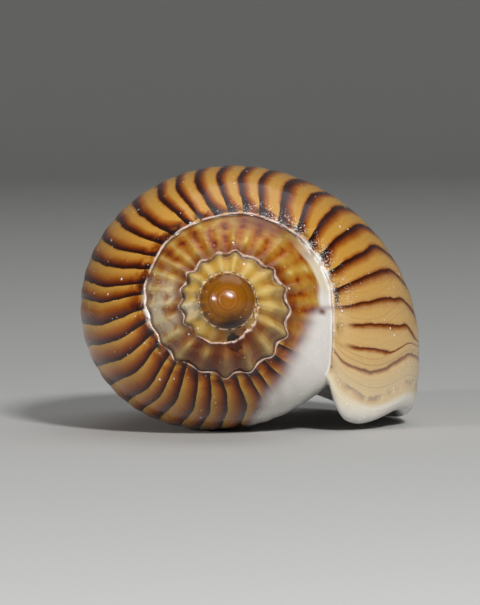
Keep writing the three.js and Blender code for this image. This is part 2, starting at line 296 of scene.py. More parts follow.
def ramp(turns, share):
    start = ramp_start(turns)
    across = np.sqrt(np.maximum(0, 1 - ((1 - share) * np.cos(start)) ** 2))
    return (across - np.sin(start)) / (1 - np.sin(start))


def widest_depth(turns):
    band = np.maximum(THINNEST_BAND, suture_depth(turns - 1) - suture_depth(turns))
    return suture_depth(turns) + band / attach_share(turns)


def widest_radius(turns):
    def coiled(at):
        grown = suture_radius(at - 1) - suture_radius(at)
        return suture_radius(at) + grown / ramp(at, attach_share(at))

    dip = bell(turns, BODY_DIP_TURNS, BODY_DIP_WIDTH)
    dip_at_start = bell(1, BODY_DIP_TURNS, BODY_DIP_WIDTH)
    flare = FLARE * np.exp(-((np.maximum(0, turns) / FLARE_TURNS) ** FLARE_POWER))
    body = coiled(1.0) + BODY_GROWTH * (1 - turns) - BODY_DIP * (dip - dip_at_start * turns) + flare
    return np.where(turns < 1, body, coiled(np.maximum(turns, 1)))


def start_radius(turns):
    """The radius at a whorl's own suture, on the whorl before, without relief"""
    start = suture_radius(turns)
    late = turns < 1
    if late.any():
        start[late] = smooth_radius(turns[late] + 1, seam_depth(turns[late]))
    return start


def coiled_radius(turns, depth):
    from_depth = seam_depth(turns)
    widest = widest_depth(turns)
    radius = widest_radius(turns)
    pad = PAD_HEIGHT * bell(turns, 1, PAD_TURNS) * bell(depth, PAD_DEPTH, PAD_REACH)
    start = start_radius(turns)
    share = np.clip((depth - from_depth) / (widest - from_depth), *RAMP_REACH)
    upper = start + (radius - start) * ramp(turns, share)
    down = np.clip((depth - widest) / (LENGTH - widest), 0, 1)
    fullness = lerp(LIP_FULLNESS, BASE_FULLNESS, smoothstep(turns, 0, NOTCH_TURNS))
    full = (1 - down**2) ** fullness
    columella = COLUMELLA_SHARE * (1 - COLUMELLA_TAPER * down**2)
    columella = columella * np.sqrt(1 - down**COLUMELLA_ROUNDING)
    narrow = columella + (1 - COLUMELLA_SHARE) * bell(down, 0, COLUMELLA_REACH)
    lower = radius * lerp(full, narrow, smoothstep(turns, *BASE_NARROWS))
    return np.where(depth <= widest, upper, lower) + pad


def smooth_radius(turns, depth):
    coiled = coiled_radius(turns, depth)
    dome = DOME_RADIUS * np.sqrt(1 - (1 - np.clip(depth / DOME_DEPTH, 0, 1)) ** 2)
    return lerp(dome, coiled, smoothstep(depth, *DOME_ENDS))


def rib_number(turns):
    """How many ribs there are from the lip up to this place. Beads stand closer than ribs."""
    low, high = RIBS_BEGIN
    share = np.clip((turns - low) / (high - low), 0, 1)
    rise = (high - low) * (share**3 - share**4 / 2) + np.maximum(0, turns - high)
    return BEADS_PER_WHORL * turns - (BEADS_PER_WHORL - RIBS_PER_WHORL) * rise


def ribs(turns, share):
    number = rib_number(turns)
    crest = (0.5 + 0.5 * np.cos(2 * np.pi * number)) ** RIB_SHARPNESS
    uneven = 1 + waver(number, *RIB_WAVES)
    bead = BEAD_HEIGHT * between(turns, BEADS_BEGIN, RIBS_BEGIN) * between(share, *BEAD_REACH)
    rib = RIB_HEIGHT * between(turns, RIBS_BEGIN, RIBS_END) * between(share, *RIB_REACH)
    return (bead + rib) * crest * uneven


def folds(turns, depth):
    along = FOLD_SLOPE * (turns - 1)
    heights = sum(bell(depth, middle - along, FOLD_WIDTH) for middle in FOLD_DEPTHS)
    return FOLD_HEIGHT * between(turns, *FOLD_TURNS) * heights


def end_ridge(turns, depth):
    middle = RIDGE_DEPTH - RIDGE_SLOPE * (turns - RIDGE_TURNS[0][0])
    return RIDGE_HEIGHT * between(turns, *RIDGE_TURNS) * bell(depth, middle, RIDGE_WIDTH)


def across(turns, depth):
    """0 at the suture and 1 at the widest place, as the radius grows, then on by centimetres"""
    from_depth = seam_depth(turns)
    widest = widest_depth(turns)
    share = np.clip((depth - from_depth) / (widest - from_depth), 0, 1)
    return ramp(turns, share) + np.maximum(0, depth - widest) / CENTIMETRE


def stripe_phase(turns, depth):
    """How many stripes there are from the lip back to this place"""
    out = across(turns, depth)
    older = smoothstep(turns, *STRIPE_NECK_TURNS)
    neck = lerp(*STRIPE_NECK, older)
    bend = lerp(*STRIPE_BEND_IN, older)
    inner = STRIPE_SWING_IN * np.maximum(0, 1 - out / neck) ** bend
    outer = STRIPE_SWING_OUT * smoothstep(out, neck, lerp(*STRIPE_BEND_OUT, older))
    sway = waver(out, *STRIPE_SWAY) * smoothstep(out, *STRIPE_SWAY_BEGINS)
    middle = seam_depth(turns) + LIP_SHOULDER_DEPTH
    lead = lip_lead(turns, depth) - lip_lead(turns, middle)
    own_way = smoothstep(turns, *STRIPE_PARALLEL)
    at = turns + (inner + outer + sway - lead) * own_way / 360
    at = at + waver(at, *STRIPE_UNEVEN) * smoothstep(turns, *STRIPE_UNEVEN_BEGINS)
    even = np.arange(1, STRIPED_WHORLS * STRIPES_PER_WHORL) / STRIPES_PER_WHORL
    before, stripes_before = BEFORE_LIP
    knots = np.concatenate([[before], LAST_STRIPES, LAST_STRIPES[-1] + even])
    numbers = np.concatenate([[stripes_before], np.arange(len(knots) - 1)])
    return np.interp(at, knots, numbers)


def surface_radius(turns, depth):
    turns, depth = (np.array(a, float) for a in np.broadcast_arrays(turns, depth))
    from_depth = suture(turns)
    below = np.maximum(0, depth - from_depth)
    share = below / (widest_depth(turns) - seam_depth(turns))
    radius = smooth_radius(turns, depth) + ribs(turns, share)
    # The whorl's edge follows whatever it is fixed to.
    held = turns < NUCLEUS_TURNS - 1
    if held.any():
        before = surface_radius(turns[held] + 1, from_depth[held])
        own = smooth_radius(turns[held], from_depth[held]) + ribs(turns[held], 0 * share[held])
        radius[held] += (before - own) * np.exp(-share[held] / EDGE_EASE)
    body = turns < 1
    roll = LIP_ROLL * bell(turns, 0, LIP_ROLL_TURNS) * smoothstep(below, *LIP_ROLL_DEPTHS)
    phase = stripe_phase(turns, depth) - STRIPE_RELIEF_SHIFT
    pillow = -STRIPE_RELIEF * np.cos(2 * np.pi * phase) * smoothstep(below, *STRIPE_RELIEF_BEGINS)
    pillow = pillow * (1 - smoothstep(turns, *STRIPE_RELIEF_ENDS))
    radius[body] += (roll + pillow)[body]
    return radius + folds(turns, depth) + end_ridge(turns, depth)


def lip_lead(turns, depth):
    below = np.maximum(0, depth - seam_depth(turns))
    shoulder = LIP_SHOULDER * bell(below, LIP_SHOULDER_DEPTH, LIP_SHOULDER_REACH)
    lead = LIP_LEAD * (1 - bell(below, 0, LIP_LEAD_DEPTH)) + shoulder
    lag = LIP_LAG * smoothstep(below, *LIP_LAG_DEPTHS)
    return (lead - lag) * (1 - smoothstep(turns, 0, LIP_EASE_TURNS))


def place(turns, depth, radius, lead_depth=None):
    lead = lip_lead(turns, depth if lead_depth is None else lead_depth)
    angle = np.radians(LIP_ANGLE - 360 * turns + lead)
    return np.stack([radius * np.cos(angle), -radius * np.sin(angle), -depth], -1)


def near_dent(turns, points, width):
    """1 at the middle of the broken place, and less around it"""
    x, y = DENT_PLACE
    off = np.hypot(points[..., 0] - x, points[..., 1] - y)
    return smoothstep(turns, *DENT_TURNS) * bell(off, 0, width)


def outer_place(turns, depth):
    """Points of the outside. The rim of each whorl stands up beside the suture."""
    turns, depth = np.broadcast_arrays(turns, depth)
    points = place(turns, depth, surface_radius(turns, depth))
    below = np.maximum(0, depth - suture(turns)) / SUTURE_RIM_WIDTH
    strength = between(turns, *SUTURE_RIM_TURNS) * (1 + waver(turns, *SUTURE_RIM_WAVES))
    points[..., 2] += SUTURE_RIM * strength * below * np.exp(1 - below)
    from_axis = np.hypot(points[..., 0], points[..., 1])
    on_top = smoothstep(turns, *DOME_RING_TURNS) * (1 - smoothstep(depth, *DOME_RING_DEPTHS))
    for radius, width, height in DOME_RINGS:
        points[..., 2] += height * on_top * bell(from_axis, radius, width)
    points[..., 2] -= DENT_DEPTH * near_dent(turns, points, DENT_WIDTH)
    return points


def end_depth(turns):
    share = np.minimum(1, turns / NOTCH_TURNS)
    past = (LENGTH - NOTCH_DEPTH) * smoothstep(share, *NOTCH_ENDS)
    return NOTCH_DEPTH + past - NOTCH_RISE * np.sin(np.pi * share)


def wall_at(turns):
    return WALL + (LIP_WALL - WALL) * bell(turns, 0, LIP_WALL_TURNS)


def stretch_ends(turns):
    next_suture = suture(turns - 1)
    inner = next_suture + CORNER_SHARE * wall_at(np.maximum(0, turns - 1))
    rise = CANAL_RISE * smoothstep(turns - 1, *CANAL_RISE_TURNS)
    end = end_depth(turns)
    canal = np.where(turns < 1, end - LOW_EDGE, CANAL_END - rise)
    return suture(turns), next_suture, inner, canal, end


def stretch_depths(turns):
    """The depths of each row's points, in four stretches, for a column of turns"""
    from_depth, next_suture, inner, canal, end = stretch_ends(turns)

    def shares(steps):
        return np.linspace(0, 1, steps + 1)[None, :]

    return {
        "band": lerp(from_depth, next_suture, shares(BAND_STEPS) ** BAND_CROWDING),
        "edge": lerp(next_suture, inner, shares(EDGE_STEPS)),
        "main": lerp(inner, canal, shares(MAIN_STEPS)),
        "low": lerp(canal, end, np.sin(np.pi / 2 * shares(LOW_STEPS))),
    }


def inner_place(turns, depth):
    """Points of the inside of the outer wall"""
    from_depth, _, _, _, end = stretch_ends(turns)
    _, _, top, canal, _ = stretch_ends(turns + 1)
    notch = 1 - smoothstep(turns, NOTCH_TURNS / 2, NOTCH_TURNS)
    bottom = lerp(canal, end - NOTCH_WALL, notch)
    at = lerp(top, bottom, (depth - from_depth) / (end - from_depth))

    def thick_at(corner):
        return surface_radius(turns, corner) - surface_radius(turns + 1, corner) - wall_at(turns)

    share = smoothstep(turns, 0, LIP_CORNER_TURNS)
    rounding = lerp(LIP_CORNER_ROUNDING, CORNER_ROUNDING, share)
    at_top = thick_at(top) * np.exp((top - at) / rounding)
    at_bottom = thick_at(bottom) * np.exp((at - bottom) / CORNER_ROUNDING) * (1 - notch)
    radius = surface_radius(turns, at) - wall_at(turns) - at_top - at_bottom
    return place(turns, at, radius, depth), at


class Patches:
    """Grids of points that become one mesh, with numbers kept for each corner of each face"""

    def __init__(self):
        self.points = []
        self.count = 0
        self.faces = []
        self.corners = []

    def add_points(self, points):
        ids = np.arange(self.count, self.count + points[..., 0].size).reshape(points.shape[:-1])
        self.points.append(points.reshape(-1, 3))
        self.count += ids.size
        return ids

    def add_grid(self, ids, turns, depth, inside, flip=False):
        """Faces between the rows of a grid of point numbers, later growth first"""
        values = [np.broadcast_to(a, ids.shape) for a in (turns, depth, inside)]

        def around(grid):
            ring = [grid[:-1, :-1], grid[:-1, 1:], grid[1:, 1:], grid[1:, :-1]]
            return np.stack(ring[::-1] if flip else ring, -1).reshape(-1, 4)

        self.faces.append(around(ids))
        self.corners.append(np.stack([around(value) for value in values], -1))

    def build(self, name, transform):
        """The mesh object and its corners' numbers. Corners that fell together are left out."""
        faces = np.concatenate(self.faces)
        corners = np.concatenate(self.corners)
        points = transform(np.concatenate(self.points))
        kept = faces != np.roll(faces, -1, axis=1)
        kept &= (kept.sum(1) > 2)[:, None]
        totals = kept.sum(1)
        totals = totals[totals > 0]
        mesh = bpy.data.meshes.new(name)
        mesh.vertices.add(len(points))
        mesh.vertices.foreach_set("co", points.astype(np.float32).ravel())
        mesh.loops.add(int(totals.sum()))
        mesh.loops.foreach_set("vertex_index", faces[kept].astype(np.int32))
        mesh.polygons.add(len(totals))
        starts = np.concatenate([[0], np.cumsum(totals)[:-1]])
        mesh.polygons.foreach_set("loop_start", starts.astype(np.int32))
        mesh.update(calc_edges=True)
        mesh.shade_smooth()
        piece = bpy.data.objects.new(name, mesh)
        bpy.context.scene.collection.objects.link(piece)
        return piece, corners[kept]


TOP_ROW = round(WHORLS * ROWS_PER_TURN)
NUCLEUS_ROW = round(NUCLEUS_TURNS * ROWS_PER_TURN)
NOTCH_ROW = round(NOTCH_TURNS * ROWS_PER_TURN)
HOLLOW_ROW = round(HOLLOW_TURNS * ROWS_PER_TURN)


def whole_rows(stretches, which):
    """One or more rows, with their four stretches joined from the suture to the end"""
    first, *others = (stretches[name][which] for name in STRETCHES)
    return np.concatenate([first] + [part[..., 1:] for part in others], -1)


def build_outside(patches):
    """The outside and the columella. Returns each stretch's point numbers, row by row."""
    tip = patches.add_points(np.zeros((1, 3)))[0]
    end = patches.add_points(np.array([[0, 0, -float(LENGTH)]]))[0]
    turns = np.arange(TOP_ROW + 1)[:, None] / ROWS_PER_TURN
    depths = stretch_depths(turns)
    rows = {}

    fresh = patches.add_points(outer_place(turns, depths["band"][:, 1:]))
    fresh[TOP_ROW] = tip
    start = np.full((TOP_ROW + 1, 1), tip)
    start[:NUCLEUS_ROW] = fresh[ROWS_PER_TURN : NUCLEUS_ROW + ROWS_PER_TURN, -1:]
    rows["band"] = np.concatenate([start, fresh], 1)

    last = ROWS_PER_TURN + HOLLOW_ROW + 1
    shared = rows["band"][:last, -1:]
    for name in STRETCHES[1:]:
        fresh = patches.add_points(outer_place(turns[:last], depths[name][:last, 1:]))
        fresh[depths[name][:last, 1:] >= LENGTH - TINY] = end
        rows[name] = np.concatenate([shared, fresh], 1)
        shared = rows[name][:, -1:]

    patches.add_grid(rows["band"], turns, depths["band"], 0)
    body = slice(0, ROWS_PER_TURN + 1)
    for name in STRETCHES[1:]:
        patches.add_grid(rows[name][body], turns[body], depths[name][body], 0)
    hollow = slice(ROWS_PER_TURN, last)
    patches.add_grid(rows["main"][hollow], turns[hollow], depths["main"][hollow], 1)
    notch = slice(ROWS_PER_TURN, ROWS_PER_TURN + NOTCH_ROW + 1)
    patches.add_grid(rows["low"][notch], turns[notch], depths["low"][notch], 1)
    return rows, depths


def build_inside(patches, rows, depths):
    """The inside of the outer wall"""
    turns = np.arange(HOLLOW_ROW + 1)[:, None] / ROWS_PER_TURN
    all_depths = whole_rows(depths, slice(HOLLOW_ROW + 1))
    points, at = inner_place(turns, all_depths)
    ids = patches.add_points(points)
    before = rows["main"][ROWS_PER_TURN : ROWS_PER_TURN + HOLLOW_ROW + 1]
    ids[:, 0] = before[:, 0]
    ids[NOTCH_ROW:, -1] = before[NOTCH_ROW:, -1]
    patches.add_grid(ids, turns, at, 1, flip=True)
    return ids


def build_edge(patches, rows, depths, inside):
    """The rounded edge of the lip and of the notch, as arcs from the outside to the inside"""
    lip, behind = (whole_rows(rows, row) for row in (0, 1))
    points = np.concatenate(patches.points)
    notch = slice(1, NOTCH_ROW + 1)
    outer = np.concatenate([lip, rows["low"][notch, -1]])
    inner = np.concatenate([inside[0], inside[notch, -1]])
    back = np.concatenate([behind, rows["low"][notch, -2]])
    ahead = points[outer] - points[back]
    ahead /= np.maximum(TINY, np.linalg.norm(ahead, axis=1))[:, None]
    corner = len(lip) - 1
    down = points[rows["low"][0, -1]] - points[rows["low"][0, -2]]
    ahead[corner] += down / np.linalg.norm(down)
    ahead[corner] /= np.linalg.norm(ahead[corner])
    middle = (points[outer] + points[inner]) / 2
    half = points[outer] - middle
    size = np.linalg.norm(half, axis=1)[:, None]
    below = -points[outer, 2:] - seam_depth(0)
    bulge = size * lerp(LIP_BULGE, 1, smoothstep(below, 0, LIP_BULGE_DEPTH))
    turn = np.pi * np.arange(1, EDGE_STEPS) / EDGE_STEPS
    arcs = [middle + half * math.cos(a) + ahead * bulge * math.sin(a) for a in turn]
    fresh = patches.add_points(np.stack(arcs, 1))
    ids = np.concatenate([outer[:, None], fresh, inner[:, None]], 1)
    ids[0] = rows["edge"][ROWS_PER_TURN]
    ids[-1] = rows["low"][ROWS_PER_TURN + NOTCH_ROW][::-1]
    all_depths = np.concatenate([whole_rows(depths, 0), depths["low"][notch, -1]])[:, None]
    turns = np.concatenate([0 * lip, np.arange(1, NOTCH_ROW + 1)])[:, None] / ROWS_PER_TURN
    patches.add_grid(ids, turns, all_depths, np.linspace(0, 1, EDGE_STEPS + 1)[None, :])


def build_far_end(patches, rows, inside):
    """The wall that closes the hollow, as triangles round its middle"""
    far = rows["main"][ROWS_PER_TURN + HOLLOW_ROW, 1:-1][::-1]
    loop = np.concatenate([inside[HOLLOW_ROW], far, inside[HOLLOW_ROW][:1]])
    points = np.concatenate(patches.points)
    centre = patches.add_points(points[loop[:-1]].mean(0)[None, :])[0]
    ids = np.stack([np.full(len(loop), centre), loop], 1)
    patches.add_grid(ids, HOLLOW_TURNS, LENGTH / 2, 1, flip=True)


def shell_turn():
    """The rotation from the shell's own frame to the table"""
    turned = Euler((LIE_PITCH, 0, 0)).to_matrix() @ Euler((0, LIE_ROLL, 0)).to_matrix()
    return turned @ Euler((math.radians(90), 0, 0)).to_matrix()


def lie_down(points):
    """From the shell's own frame to the frame's place on the table, in metres"""
    laid = points @ np.array(shell_turn()).T * MM
    low, high = laid.min(0), laid.max(0)
    box_low, box_high = (np.array(corner) for corner in cad_box)
    scale = np.minimum(1, (box_high - box_low) / (high - low))
    return (laid - (low + high) / 2) * scale + (box_low + box_high) / 2


def build_shell():
    patches = Patches()
    rows, depths = build_outside(patches)
    inside = build_inside(patches, rows, depths)
    build_edge(patches, rows, depths, inside)
    build_far_end(patches, rows, inside)
    return patches.build("volute_shell", lie_down)


def callus_strength(turns, depth, radius):
    """How far into the white callus a place is"""
    edge_turns, edge_radius = zip(*CALLUS_EDGE)
    above = smoothstep(radius - np.interp(turns, edge_turns, edge_radius), *CALLUS_BLUR)
    base = smoothstep(turns, *CALLUS_BASE_BEGINS)
    on_base = smoothstep(depth - widest_depth(turns), *CALLUS_BASE_DEPTHS)
    return lerp(above, base, on_base) * between(turns, *CALLUS_TURNS)


def set_fields(mesh, corners):
    """Numbers on the mesh's face corners, from which its material works out the pattern"""
    turns, depth, inside = corners.T
    radius = surface_radius(turns, depth)
    next_radius = np.where(turns >= 1, surface_radius(turns, suture(turns - 1)), radius + FAR)
    points = place(turns, depth, radius)
    fields = {
        "turns": turns,
        "below": np.maximum(0, depth - suture(turns)),
        "to_next": np.where(inside < 0.5, np.maximum(0, next_radius - radius), FAR),
        "across": across(turns, depth),
        "phase": stripe_phase(turns, depth),
        "ribs": rib_number(turns),
        "inside": inside,
        "radius": radius,
        "callus": callus_strength(turns, depth, radius),
        "dent": near_dent(turns, points, DENT_WIDTH),
        # Painted shade, darker towards the broken place on the lower side
        "painted_shade": near_dent(turns, points, PAINTED_SHADE_WIDTH),
    }
    for name, values in fields.items():
        layer = mesh.attributes.new(name, "FLOAT", "CORNER")
        layer.data.foreach_set("value", values.astype(np.float32))


class Signal:
    """A number in a material's nodes, which sums and products can be made with"""

    def __init__(self, tree, socket):
        self.tree = tree
        self.socket = socket

    def math(self, operation, *others):
        node = self.tree.nodes.new("ShaderNodeMath")
        node.operation = operation
        for entry, value in zip(node.inputs, (self, *others)):
            connect(self.tree, value, entry)
        return Signal(self.tree, node.outputs[0])

    def __add__(self, other):
        return self.math("ADD", other)

    def __radd__(self, other):
        return self.math("ADD", other)

    def __sub__(self, other):
        return self.math("SUBTRACT", other)

    def __mul__(self, other):
        return self.math("MULTIPLY", other)

    def power(self, other):
        return self.math("POWER", other)

    def fraction(self):
        return self.math("FRACT")

    def wave(self):
        """1 where this is a whole number, and 0 halfway between"""
        return (self * (2 * math.pi)).math("COSINE") * 0.5 + 0.5

    def capped(self):
        """No more than 1"""
        return self.math("MINIMUM", 1)

    def step(self, low, high, to_low=0.0, to_high=1.0):
        """Rises smoothly from to_low to to_high as this goes from low to high"""
        node = self.tree.nodes.new("ShaderNodeMapRange")
        node.interpolation_type = "SMOOTHSTEP"
        for entry, value in zip(node.inputs, (self, low, high, to_low, to_high)):
            connect(self.tree, value, entry)
        return Signal(self.tree, node.outputs[0])

    def between(self, rise, fall):
        """Rises smoothly from 0 to 1 over one range and falls back to 0 over another"""
        return self.step(*rise) * self.step(fall[1], fall[0])

    def peak(self, middle, width):
        """1 at middle, and 0 further from it than width"""
        return (self - middle).math("ABSOLUTE").step(width, 0)

    def peaks(self, *places):
        """The sum of several peaks, each given by its middle and width"""
        first, *others = (self.peak(*place) for place in places)
        return sum(others, first)


def connect(tree, value, entry):
    if isinstance(value, Signal):
        tree.links.new(value.socket, entry)
    else:
        entry.default_value = value


def colour(red, green, blue):
    """A colour from its values on a screen, 0 to 255"""
    def linear(value):
        share = value / 255
        return share / 12.92 if share <= 0.04045 else ((share + 0.055) / 1.055) ** 2.4
    return (linear(red), linear(green), linear(blue), 1.0)


NOISE_DETAIL = 2.0
SPECK_SIZES = (0.08, 0.33)  # the least and the most, as a share of a cell
SPECK_EDGE = 0.06


class Surface:
    """A material's nodes, with short ways to read a field and to make noise and blends"""

    def __init__(self, name):
        self.material = bpy.data.materials.new(name)
        self.material.use_nodes = True
        self.tree = self.material.node_tree
        self.shader = self.tree.nodes["Principled BSDF"]
        self.place = self.tree.nodes.new("ShaderNodeTexCoord").outputs["Object"]

    def field(self, name):
        node = self.tree.nodes.new("ShaderNodeAttribute")
        node.attribute_name = name
        return Signal(self.tree, node.outputs["Fac"])

    def noise(self, size, detail=NOISE_DETAIL):
        """Smooth noise from 0 to 1 whose lumps are about size millimetres wide"""
        node = self.tree.nodes.new("ShaderNodeTexNoise")
        self.tree.links.new(self.place, node.inputs["Vector"])
        node.inputs["Scale"].default_value = 1 / (size * MM)
        node.inputs["Detail"].default_value = detail
        return Signal(self.tree, node.outputs["Fac"])

    def ripple(self, size, height, detail=NOISE_DETAIL):
        """Smooth noise of about this height, as much below 0 as above it"""
        return (self.noise(size, detail) - 0.5) * height

    def patches(self, size, low, high, detail=NOISE_DETAIL):
        """1 in patches about size millimetres wide, where the noise passes high, and 0 between"""
        return self.noise(size, detail).step(low, high)

    def line_noise(self, along):
        """Noise that changes only as the number along does"""
        node = self.tree.nodes.new("ShaderNodeTexNoise")
        node.noise_dimensions = "1D"
        connect(self.tree, along, node.inputs["W"])
        node.inputs["Scale"].default_value = 1
        node.inputs["Detail"].default_value = NOISE_DETAIL
        return Signal(self.tree, node.outputs["Fac"])

    def specks(self, size, share):
        """1 in small round spots, which are in the given share of the cells, size wide"""
        node = self.tree.nodes.new("ShaderNodeTexVoronoi")
        self.tree.links.new(self.place, node.inputs["Vector"])
        node.inputs["Scale"].default_value = 1 / (size * MM)
        split = self.tree.nodes.new("ShaderNodeSeparateColor")
        self.tree.links.new(node.outputs["Color"], split.inputs[0])
        chosen = Signal(self.tree, split.outputs[0]).step(share, share * 0.98)
        least, most = SPECK_SIZES
        width = Signal(self.tree, split.outputs[1]) * (most - least) + least
        distance = Signal(self.tree, node.outputs["Distance"])
        return chosen * (width - distance).step(0, SPECK_EDGE)

    def blend(self, base, top, amount):
        node = self.tree.nodes.new("ShaderNodeMix")
        node.data_type = "RGBA"
        connect(self.tree, amount, node.inputs["Factor"])
        connect(self.tree, base, node.inputs["A"])
        connect(self.tree, top, node.inputs["B"])
        return Signal(self.tree, node.outputs["Result"])

    def ramp(self, value, *stops):
        """A colour from each stop's place and colour"""
        node = self.tree.nodes.new("ShaderNodeValToRGB")
        connect(self.tree, value, node.inputs[0])
        elements = node.color_ramp.elements
        while len(elements) < len(stops):
            elements.new(0.5)
        for element, (at, shade) in zip(elements, stops):
            element.position = at
            element.color = shade
        return Signal(self.tree, node.outputs[0])

    def bump(self, height, distance):
        node = self.tree.nodes.new("ShaderNodeBump")
        node.inputs["Distance"].default_value = distance * MM
        connect(self.tree, height, node.inputs["Height"])
        self.tree.links.new(node.outputs[0], self.shader.inputs["Normal"])


TAN = colour(184, 136, 56)
GOLD = colour(150, 82, 8)
BROWN = colour(98, 34, 2)
DARK = colour(42, 8, 1)
NIGHT = colour(22, 10, 8)
OCHRE = colour(170, 132, 52)
CREAM = colour(202, 176, 114)
UMBER = colour(104, 60, 8)
LIP = colour(198, 164, 108)
WHITE = colour(220, 216, 210)
IVORY = colour(214, 204, 180)
LILAC = colour(150, 130, 132)
PINK = colour(215, 192, 178)
CHALK = colour(200, 188, 158)
DOME = colour(136, 82, 8)
# The colour of dust specks, and of the painted highlights along the suture
DUST_AND_GLINT = colour(240, 238, 232)

# The looks' ranges are in turns, or in millimetres where a name says BELOW, from the whorl's own
# suture, or TO_NEXT, from the next one. Patches and ripples of noise are given by how wide their
# lumps are in millimetres, by the noise they fade in over or their height, and by their detail.

# The stripes' colours, from a stripe's dark side on
STRIPE_STOPS = ((0, DARK), (0.13, DARK), (0.24, BROWN), (0.38, GOLD), (0.56, TAN),
                (0.86, TAN), (0.96, GOLD), (1, BROWN))
OLD_STRIPE_STOPS = ((0, DARK), (0.09, DARK), (0.25, BROWN), (0.52, GOLD), (0.86, TAN),
                    (0.97, TAN), (1, BROWN))
LAST_STRIPE_STOPS = ((0, BROWN), (0.1, BROWN), (0.2, GOLD), (0.36, LIP), (0.93, LIP),
                     (1, GOLD))
STRIPE_EDGE = (0.965, 1.0)  # as a share of a stripe
OLD_STRIPES = (0.4, 0.6)
LAST_LOOK = (0.17, 0.03)
FAINT_STRIPES = (0.038, 0.02)
FAINT_PATCHES = (1.0, 0.35, 0.6, 3)
SHORT_STRIPES = ((0.035, 0.05), (0.08, 0.1))
SHORT_BELOW = (1.4, 0.6)
DARK_BY_SUTURE = (0.08, 0.2)
DARK_BELOW = (1.8, 0.2)
DARK_PATCHES = (1.3, 0.35, 0.55, 3)
STRIPE_RIPPLE = (3.5, 0.3)
SHADE_RIPPLE = (2.0, 0.16, 3)
RAGGED_SIZE = 0.6
STRIPE_RAGGED = (0.1, 0.04, 0.06, 0.16)  # a range of turns, then the raggedness at each end
STRIPE_POWER = (0.03, 0.25, 0.62, 1.0)  # a range of turns, then a power: a low one thins the dark


def stripe_colour(skin, turns, below):
    """Dark on the side away from the lip, fading towards it, and darker beside the suture"""
    ragged = skin.ripple(RAGGED_SIZE, turns.step(*STRIPE_RAGGED), detail=3)
    sway = skin.ripple(*STRIPE_RIPPLE) + ragged
    along = ((skin.field("phase") + sway) * -1).fraction()
    along = along.power(turns.step(*STRIPE_POWER))
    near = below.step(*DARK_BELOW) * skin.patches(*DARK_PATCHES) * turns.step(*DARK_BY_SUTURE)
    lively = along + skin.ripple(*SHADE_RIPPLE) * along.step(0.2, 0.5) - near * along * 0.6
    old = skin.ramp(lively, *OLD_STRIPE_STOPS)
    last = skin.ramp(lively, *LAST_STRIPE_STOPS)
    shade = skin.blend(skin.ramp(lively, *STRIPE_STOPS), old, turns.step(*OLD_STRIPES))
    shade = skin.blend(shade, last, turns.step(*LAST_LOOK))
    shade = skin.blend(shade, DARK, along.step(*STRIPE_EDGE))
    faint = turns.step(*FAINT_STRIPES) * skin.patches(*FAINT_PATCHES)
    short = below.step(*SHORT_BELOW) * turns.between(*SHORT_STRIPES)
    shade = skin.blend(shade, LIP, (faint + short).capped() * 0.85)
    return skin.blend(shade, NIGHT, near * along.step(0.45, 0.1) * 0.8)


# The spire's colours, from the darkest parts of its mottling on
WARM_STOPS = ((0.34, BROWN), (0.48, GOLD), (0.8, OCHRE), (1, CREAM))
PALE_STOPS = ((0.15, GOLD), (0.42, OCHRE), (0.95, CREAM))
MOTTLE_SIZE = 1.1
PALE_SPIRE = (1.85, 2.1)
RIBBED = ((1.35, 1.55), (2.0, 2.2))
GROOVED = (2.1, 1.9)
GROOVE_BELOW = (0.9, 0.2)
# Where the painted shadow line lies, on the earlier whorl just inside the next whorl's rim
SHADOW_LINE_TURNS = (2.8, 2.6)
SHADOW_LINE_TO_NEXT = (0.32, 0.05)
SHADED = ((1.27, 0.09), (1.8, 0.12))  # each a middle and how far it reaches either way
SHADE_TO_NEXT = (1.5, 0.6)
SHADE_PATCHES = (1.0, 0.2, 0.4, 3)


def spire_colour(skin, turns, to_next):
    """Pale ribs with orange brown between, chalky where it is worn"""
    crest = skin.field("ribs").wave()
    mottle = skin.noise(MOTTLE_SIZE, detail=3)
    warm = skin.ramp(crest * 0.22 + mottle, *WARM_STOPS)
    pale = skin.ramp(crest * 0.25 + mottle * 0.8, *PALE_STOPS)
    shade = skin.blend(warm, pale, turns.step(*PALE_SPIRE))
    ribbed = turns.between(*RIBBED)
    shade = skin.blend(shade, BROWN, crest.step(0.45, 0.15) * ribbed * 0.5)
    shade = skin.blend(shade, CREAM, crest.step(0.75, 1.0) * ribbed * 0.5)
    shade = damage_and_shade(skin, shade, turns)
    groove = skin.field("below").step(*GROOVE_BELOW) * turns.step(*GROOVED)
    shade = skin.blend(shade, BROWN, groove * 0.7)
    shadow = to_next.step(*SHADE_TO_NEXT) * turns.peaks(*SHADED) * skin.patches(*SHADE_PATCHES)
    shade = skin.blend(shade, BROWN, shadow * 0.8)
    # A painted shadow line under the rim of the next whorl
    shadow_line = to_next.step(*SHADOW_LINE_TO_NEXT) * turns.step(*SHADOW_LINE_TURNS)
    return skin.blend(shade, DARK, shadow_line * 0.75)


WORN = ((1.6, 0.14), (2.6, 0.12))  # each a middle and how far it reaches either way
WORN_PATCHES = (1.2, 0.35, 0.6, 4)
PITS = (0.22, 0.28, 0.2, 1)
TORN_AND_SHADED_RIPPLE = (0.6, 0.9, 3)


def damage_and_shade(skin, shade, turns):
    """Chalky places with dark pits, the broken place, dark partly as painted shade in its hollow,
    and painted shade around it
    """
    worn = turns.peaks(*WORN) * skin.patches(*WORN_PATCHES)
    shade = skin.blend(shade, CHALK, worn * 0.8)
    shade = skin.blend(shade, DARK, skin.patches(*PITS) * worn.step(0.2, 0.6))
    # Painted shade, browner towards the broken place on the spire's lower side
    shade = skin.blend(shade, BROWN, skin.field("painted_shade").step(0.15, 0.8) * 0.7)
    # The broken place is dark, partly as real broken shell and partly as painted shade in its
    # hollow
    torn_and_shaded = (skin.field("dent") + skin.ripple(*TORN_AND_SHADED_RIPPLE)).step(0.32, 0.5)
    return skin.blend(shade, NIGHT, torn_and_shaded * 0.95)


